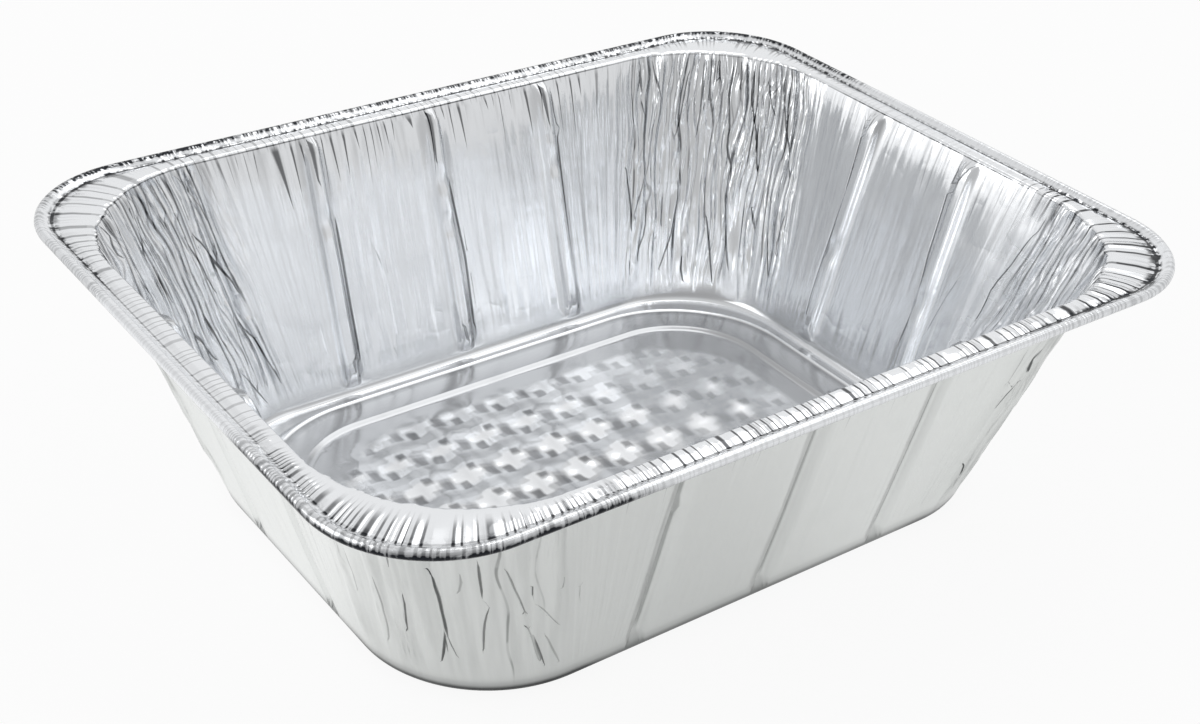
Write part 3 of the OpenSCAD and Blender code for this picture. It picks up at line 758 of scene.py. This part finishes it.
def crumpleGroup():
    given, ends = shaderGroup("softCrumple", {"Vector": None, "Size": 12 * mm, "Sharpness": 0.5}, ["Height"])
    broad = noise(given["Vector"], over(1.0, given["Size"]), 1.5, size="3D")[0]
    folded = calc("ABSOLUTE", calc("MULTIPLY_ADD", broad, 4.0, -2.0))
    return closeTree(ends, plus(times(broad, minus(1.0, given["Sharpness"])), times(folded, given["Sharpness"])))


def rollingGroup():
    given, ends = shaderGroup("rollingLines", {"Vector": None, "Fineness": 900.0}, ["Value"])
    parts = split(given["Vector"])
    stretched = combine(times(parts[0], 0.03), parts[1], parts[2])
    return closeTree(ends, noise(stretched, given["Fineness"], 2.0, size="3D")[0])


# the embossed squares of the floor as painted light and shade: how dark each is, 0 on the bright ones, from boxes in
# one cell
weaveBoxes = [  # middle and half size in millimetres, change of painted shade
    (0, 0, 9.4, 6.3, -0.12), (0, 0, 2.0, 6.6, -0.3), (-4.1, 0.9, 2.4, 2.4, -0.3), (4.1, -0.6, 2.4, 2.4, -0.3),
    (3.3, 2.7, 1.9, 2.1, 0.45), (-3.5, -4.5, 1.9, 2.3, 0.42), (8.0, -1.8, 3.2, 3.8, 0.24), (8.9, -2.6, 2.0, 2.6, 0.16),
]
weaving = {"Vector": None, "Pitch": 18.6 * mm, "Shift": 7.3 * mm, "Wobble": 2.3 * mm, "Tone": 0.35, "Patches": 0.45}


def weaveGroup():
    given, ends = shaderGroup("weaveShading", weaving, ["Tone"])
    cell = weaving["Pitch"] / mm
    wobble = vectors("SUBTRACT", noise(given["Vector"], 130.0, 1.0)["Color"], (0.5, 0.5, 0.5))
    parts = split(vectors("ADD", vectors("SCALE", wobble, given["Wobble"]), given["Vector"]))
    x, y = over(plus(parts[0], given["Shift"]), given["Pitch"]), over(parts[1], given["Pitch"])
    x, y = (minus(value, calc("ROUND", value)) for value in (x, y))
    total = given["Tone"]
    for cx, cy, hx, hy, change in weaveBoxes:
        sides = []
        for value, middle, half in ((x, cx, hx), (y, cy, hy)):
            off = calc("PINGPONG", minus(value, middle / cell), 0.5)
            sides.append(ramp(off, (half - 0.8) / cell, (half + 0.7) / cell, 1.0, 0.0))
        total = plus(total, times(times(*sides), change))
    patches = times(minus(noise(given["Vector"], 55.0, 2.0)[0], 0.5), given["Patches"])
    return closeTree(ends, plus(total, patches, clamp=True))


groups = {
    "pleat": lineGroup("pleatLines", pleatNodes, {
        "Pitch": 3 * mm, "Run": 60 * mm, "Wander": 5.0, "Width": 0.2, "Rarity": 0.3, "Seed": 0.0}),
    "spike": lineGroup("foldSpikes", spikeNodes, {
        "Pitch": 3 * mm, "Start": 0.0, "Length": 20 * mm, "Width": 1 * mm, "Wander": 0.5, "Rarity": 0.2, "Seed": 0.0}),
    "crumple": crumpleGroup(), "rolling": rollingGroup(), "weave": weaveGroup(),
}

# the light colour is the foil's own, the dark shade colour is painted shade mixed in along folds, creases and recesses
foilInside = {
    "name": "brightFoil", "skin": "In", "light": (0.865, 0.88, 0.9), "shadeColour": (0.02, 0.022, 0.026), "shade": 1.0,
    "roughness": 0.18, "roughSpread": 0.08, "creaseHeight": 0.42 * mm, "fineHeight": 0.2 * mm, "scoreHeight": 0.25 * mm,
    "hangHeight": 0.35 * mm, "flangeHeight": 0.3 * mm, "crumpleHeight": 0.2 * mm, "crimpHeight": 0.16 * mm,
    "streakHeight": 0.12 * mm, "rarity": 0.15, "creaseShade": 0.75,
}
foilOutside = {
    "name": "softFoil", "skin": "Out", "light": (0.85, 0.868, 0.855), "shadeColour": (0.05, 0.055, 0.055), "shade": 0.9,
    "roughness": 0.34, "roughSpread": 0.08, "creaseHeight": 0.1 * mm, "fineHeight": 0.03 * mm, "scoreHeight": 0.3 * mm,
    "hangHeight": 0.12 * mm, "flangeHeight": 0.2 * mm, "crumpleHeight": 0.16 * mm, "crimpHeight": 0.1 * mm,
    "streakHeight": 0.12 * mm, "rarity": 0.93, "ribShade": 0.42, "footShadow": 0.85, "streakShade": 0.2, "creaseShade": 0.92,
}

paintedShade = {  # how dark the painted shade is in the drawn fold lines, crimps, blots, creases, the rolled edge and the floor's squares
    "radial": 0.9, "rimPlates": 0.95, "wallPlates": 0.7, "bars": 0.75, "crimps": 0.8, "blotShade": 0.85, "bead": 0.4,
    "deep": 0.84, "fine": 0.42, "hang": 0.8, "weaveLeft": 0.52,
}
folds = {  # pitch, width, wander, rarity and seed of each row of folds
    "radial": (3.1 * mm, 0.7 * mm, 0.4, 0.1, 11.0), "plates": (5.4 * mm, 1.1 * mm, 0.5, 0.0, 13.0),
    "bars": (2.0 * mm, 0.75 * mm, 0.5, 0.25, 12.0), "crimps": (1.6 * mm, 0.75 * mm, 0.5, 0.1, 14.0),
    "hang": (4.2 * mm, 0.95 * mm, 0.5, 0.15, 7.0),
}
everywhere, endless = -1.0, 1000.0  # where folds start and how long they are when nothing ends them


def makeFoil(f, zone):
    material = bpy.data.materials.new(f["name"] + zone)
    out = openTree(material, "ShaderNodeOutputMaterial")
    uv = place("ShaderNodeUVMap", {"uv_map": "unrolled"}).outputs[0]
    spot = place("ShaderNodeTexCoord").outputs["Object"]
    down = split(uv)[1]

    def share(name):
        return place("ShaderNodeAttribute", {"attribute_name": name}).outputs["Fac"]

    def group(kind, **values):
        return place("ShaderNodeGroup", {"node_tree": groups[kind]}, values).outputs

    def pleats(pitch, run, wander, width, seed):
        return group("pleat", Vector=uv, Pitch=pitch, Run=run, Wander=wander, Width=width, Rarity=f["rarity"], Seed=seed)

    def spikes(name, start=everywhere, length=endless):
        pitch, width, wander, rarity, seed = folds[name]
        return group("spike", Vector=uv, Pitch=pitch, Start=start, Length=length, Width=width, Wander=wander,
                     Rarity=rarity, Seed=seed)

    def scaled(value, amount, more=1.0):
        return times(times(value, amount), more)

    def score(off, full, none):  # a thin line where off is near 0
        return ramp(calc("ABSOLUTE", off), full, none, 1.0, 0.0)

    crumple = group("crumple", Vector=spot, Size=14 * mm, Sharpness=0.35)["Height"]
    heights, lines = [], []  # what lifts the surface, and the painted shade that darkens it in folds, creases and recesses
    if zone != "Floor":
        patchy = ramp(group("rolling", Vector=spot, Fineness=700.0)["Value"], 0.3, 0.6, 0.7, 1.0)
        # painted shade along the flange's radial folds and plates
        radial, plates = spikes("radial"), spikes("plates")
        heights += [scaled(radial["Height"], share("stripShare"), f["flangeHeight"]),
                    scaled(plates["Height"], share("plateShare"), 1.5 * f["flangeHeight"])]
        lines += [scaled(radial["Line"], share("stripShare"), paintedShade["radial"]),
                  scaled(plates["Line"], share("plateShare"), paintedShade[zone.lower() + "Plates"])]
    if zone == "Rim":
        bars, crimps, bead = spikes("bars"), spikes("crimps"), share("beadShare")
        fromValley = minus(down, places["valley"])
        crumpled = scaled(score(fromValley, 0.5 * mm, 1.6 * mm), share("valleyCrumpleShade"))
        # blots of painted shade where the rolled edge and the valley are crumpled
        blotShade = ramp(noise(uv, 480.0, 2.0, 0.6)[0], 0.43, 0.53)
        heights += [scaled(bars["Height"], share("barShare"), f["flangeHeight"]),
                    scaled(crimps["Height"], bead, f["crimpHeight"])]
        # painted shade in the flange bars and the crimps of the rolled edge
        lines += [scaled(bars["Line"], share("barShare"), paintedShade["bars"]),
                  scaled(crimps["Line"], bead, paintedShade["crimps"]),
                  # painted shade in blots where the rolled edge and the valley are crumpled
                  scaled(blotShade, plus(calc("POWER", bead, 2.0), crumpled), paintedShade["blotShade"]),
                  # painted shade under the rolled edge, darkest between its crimps
                  scaled(ramp(crimps["Height"], -0.8, 0.2, 0.55, 1.0), share("underShadeShare")),
                  # painted shade over the rolled edge, strongest at its worst corners
                  times(calc("POWER", bead, 3.0), paintedShade["bead"]),
                  # a painted shade line along the flange's valley
                  scaled(score(fromValley, 0.12 * mm, 0.42 * mm), share("valleyShadeShare"), patchy)]
    if zone == "Wall":
        corners, walls, lined = share("pleatShare"), share("wallShare"), share("pleatShadeShare")
        deep = pleats(pressing["Pleat Pitch"], pressing["Pleat Run"], 3.6, 0.16, pressing["Seed"])
        fine = pleats(1.7 * mm, 30 * mm, 5.0, 0.22, 5.0)
        hang = spikes("hang", -0.5 * mm, 26 * mm)
        stretched = place("ShaderNodeMapping", {}, {"Vector": uv, "Scale": (260.0, 16.0, 1.0)}).outputs[0]
        streaks = ramp(noise(stretched, 1.0, 1.0)[0], 0.25, 0.75, -1.0, 1.0, "LINEAR")
        # single creases, drawn from their distance, width and depth, as grooves with painted shade in them
        off, wide, depth, near = (share("crease" + name + f["skin"]) for name in ("Off", "Width", "Tone", "Near"))
        thin = calc("MAXIMUM", times(wide, 0.55), 0.01 * mm)
        crease = score(off, times(wide, 0.15), thin)
        clear = minus(near, times(wide, 0.5))
        crease = scaled(crease, depth, ramp(clear, 0.7 * mm, 1.2 * mm, 1.0, 0.0))
        heights += [scaled(deep["Height"], corners, f["creaseHeight"]), scaled(fine["Height"], corners, f["fineHeight"]),
                    scaled(hang["Height"], share("hangShare"), f["hangHeight"]),
                    scaled(crumple, walls, f["crumpleHeight"]), scaled(streaks, walls, f["streakHeight"]),
                    times(crease, -f["scoreHeight"])]
        # a painted shade line along the fold between flange and wall
        fold = score(plus(down, 0.3 * mm), 0.1 * mm, 0.38 * mm)
        # painted shade in the pleats' creases, the hanging folds and the single creases, and along the fold
        lines += [scaled(deep["Line"], lined, paintedShade["deep"]), scaled(fine["Line"], lined, paintedShade["fine"]),
                  scaled(hang["Line"], share("hangShadeShare"), paintedShade["hang"]),
                  times(calc("MAXIMUM", crease, 0.0), f["creaseShade"]), scaled(fold, share("foldShadeShare"), patchy)]
        # painted shade in the outside ribs' grooves and along the corners' streaks, and a painted contact shadow where
        # the foot turns under
        if f["skin"] == "Out":
            foot = places["foot"]
            edge = plus(ramp(down, foot - 2.4 * mm, foot + 1 * mm, 0.0, f["footShadow"]),
                        ramp(down, foot - 8 * mm, foot, 0.0, 0.25))
            lines += [scaled(score(share("ribOff"), 0.9 * mm, 2.2 * mm), walls, f["ribShade"]),
                      scaled(ramp(streaks, -0.8, 0.8), corners, f["streakShade"]),
                      scaled(edge, share("footShadowShare"), ramp(down, foot + 4 * mm, foot + 6 * mm, 1.0, 0.0))]
        # painted shade that dulls the highlights of the foot fillet, ridge and ring
        lines.append(share("floorShade"))
    if zone == "Floor":
        # painted light and shade of the embossed squares, weaker towards +X, over the painted shade of the plain floor
        # round them
        leftOf = ramp(split(spot)[0], 5 * mm, 50 * mm, 1.0, paintedShade["weaveLeft"])
        weave = times(group("weave", Vector=spot)["Tone"], leftOf)
        lines.append(ramp(share("weaveShare"), 0.0, 1.0, share("floorShade"), weave, "LINEAR"))
        heights.append(times(crumple, 0.5 * f["crumpleHeight"]))
    # the summed painted shade mixes the dark shade colour into the foil's own
    shade = times(reduce(plus, lines), f["shade"], clamp=True)
    tone = place("ShaderNodeMix", {"data_type": "RGBA"}, {0: shade, 6: (*f["light"], 1), 7: (*f["shadeColour"], 1)})
    half = f["roughSpread"] / 2
    rough = ramp(crumple, 0.3, 0.7, f["roughness"] - half, f["roughness"] + half, "LINEAR")
    if zone == "Wall":
        rough = plus(rough, share("roughShare"))
    bump = place("ShaderNodeBump", {}, {"Height": reduce(plus, heights), "Distance": 1.0, "Strength": 1.0})
    metal = place("ShaderNodeBsdfPrincipled", {}, {
        "Base Color": tone.outputs[2], "Roughness": rough, "Metallic": 1.0, "Normal": bump.outputs[0]})
    closeTree(out, metal.outputs[0])
    material.diffuse_color = (*f["light"], 1)
    return material


foils = [makeFoil(f, zone) for f in (foilInside, foilOutside) for zone in zoneNames]
print("stage: finishes")


def settled(piece, name):
    graph = bpy.context.evaluated_depsgraph_get()
    mesh = bpy.data.meshes.new_from_object(piece.evaluated_get(graph), preserve_all_data_layers=True, depsgraph=graph)
    mesh.name = name
    piece.modifiers.clear()
    piece.data = mesh
    return mesh


def pressPan():
    pan = bpy.data.objects.new("foilRoastingPan", blankMesh)
    bpy.context.scene.collection.objects.link(pan)
    modifier = pan.modifiers.new("press", "NODES")
    modifier.node_group = pressTree(pressing)
    sockets = modifier.node_group.interface.items_tree
    named = {s.name: s.identifier for s in sockets if s.item_type == "SOCKET" and s.in_out == "INPUT"}
    for key, value in pressing.items():
        modifier[named[key]] = value
    modifier[named["Material"]] = foils[1]
    mesh = settled(pan, "pressedSheet")
    mesh.materials.clear()
    for foil in foils:
        mesh.materials.append(foil)
    zones = np.zeros(len(mesh.polygons), np.int32)
    mesh.attributes["zone"].data.foreach_get("value", zones)
    mesh.polygons.foreach_set("material_index", zones)
    shell = pan.modifiers.new("thickness", "SOLIDIFY")
    shell.thickness = blank["sheet"] * mm
    shell.offset = -1
    shell.use_rim = True
    shell.material_offset = len(zoneNames)
    mesh = settled(pan, "foilRoastingPan")
    mesh.calc_loop_triangles()
    print("stage: pan pressed,", len(mesh.loop_triangles), "triangles")
    return pan


pan = pressPan()
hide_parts("foil_pan")
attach(pan, "root")

# plain pale floor, white surroundings and soft lamps
studio = {
    "floor": (0.8, 0.8, 0.8), "floorHalf": 6.0, "floorGap": 0.3 * mm, "floorShine": 0.92,
    # how bright the foil sees the floor, with a painted shadow towards the near side and painted light to the left
    "floorInFoil": 0.62, "nearWay": (-0.45, -0.89, 0.0), "floorNearShadow": 0.25, "leftWay": (-0.97, 0.24, 0.0), "floorLeftLight": 0.35,
    # how bright it sees what is around it, with a duller near side and two brighter cards
    "around": 0.66, "inFoil": 0.78, "nearSideWay": (-0.55, -0.75, 0.35), "nearSide": 0.55,
    "cards": [((0.55, 0.71, 0.44), 0.12), ((-0.91, 0.35, 0.2), 0.26)],
    "lamps": [  # place, size, power in watts
        ((-1.7, 0.7, 1.3), 1.6, 10.0),
        ((1.03, 0.67, 1.89), 1.1, 4.2),
        ((1.15, -0.61, 1.82), 1.0, 1.4),
    ],
    "aim": (0.0, 0.0, 50 * mm),
}


def paintFloor(w, paint):
    out = openTree(paint, "ShaderNodeOutputMaterial")
    base = place("ShaderNodeBsdfPrincipled", {}, {"Base Color": (*w["floor"], 1), "Roughness": 0.8})
    white = place("ShaderNodeEmission", {}, {"Color": (1, 1, 1, 1), "Strength": 1.0})
    rays = place("ShaderNodeLightPath").outputs
    way = vectors("NORMALIZE", place("ShaderNodeTexCoord").outputs["Object"], None)
    near, left = (vectors("DOT_PRODUCT", way, w[to]) for to in ("nearWay", "leftWay"))
    # a painted shadow on the floor near the pan's near side and painted light to its left, seen only in the foil's
    # reflections
    level = ramp(near, 0.5, 1.0, w["floorInFoil"], w["floorInFoil"] - w["floorNearShadow"])
    level = plus(level, ramp(left, 0.75, 1.0, 0.0, w["floorLeftLight"]))
    seen = calc("MAXIMUM", times(rays["Is Camera Ray"], w["floorShine"]), times(rays["Is Glossy Ray"], level))
    closeTree(out, place("ShaderNodeMixShader", {}, {0: seen, 1: base.outputs[0], 2: white.outputs[0]}).outputs[0])


def paintWorld(w, world):
    out = openTree(world, "ShaderNodeOutputWorld")
    rays, way = place("ShaderNodeLightPath").outputs, place("ShaderNodeTexCoord").outputs["Generated"]
    bright = ramp(rays["Is Glossy Ray"], 0.0, 1.0, w["around"], w["inFoil"], "LINEAR")
    level = ramp(vectors("DOT_PRODUCT", way, w["nearSideWay"]), 0.4, 0.95, bright, w["nearSide"])
    for to, lift in w["cards"]:
        level = plus(level, ramp(vectors("DOT_PRODUCT", way, to), 0.8, 0.95, 0.0, lift))
    seen = calc("MAXIMUM", level, rays["Is Camera Ray"])
    closeTree(out, place("ShaderNodeBackground", {}, {"Color": (1, 1, 1, 1), "Strength": seen}).outputs[0])


def makeStudio(w):
    scene = bpy.context.scene
    plane = bpy.data.meshes.new("studioFloor")
    edges = [(x * w["floorHalf"], y * w["floorHalf"], -w["floorGap"]) for x, y in ((-1, -1), (1, -1), (1, 1), (-1, 1))]
    plane.from_pydata(edges, [], [(0, 1, 2, 3)])
    plane.materials.append(bpy.data.materials.new("palePaint"))
    paintFloor(w, plane.materials[0])
    floor = bpy.data.objects.new("studioFloor", plane)
    scene.collection.objects.link(floor)

    scene.world = bpy.data.worlds.new("studioWorld")
    paintWorld(w, scene.world)

    for i, (at, size, power) in enumerate(w["lamps"]):
        lamp = bpy.data.lights.new(f"softLamp{i + 1}", "AREA")
        lamp.shape, lamp.size, lamp.energy = "SQUARE", size, power
        holder = bpy.data.objects.new(lamp.name, lamp)
        holder.location = at
        holder.rotation_euler = (Vector(w["aim"]) - Vector(at)).to_track_quat("-Z", "Y").to_euler()
        scene.collection.objects.link(holder)
    scene.view_settings.view_transform = "Standard"


makeStudio(studio)
print("stage: studio")
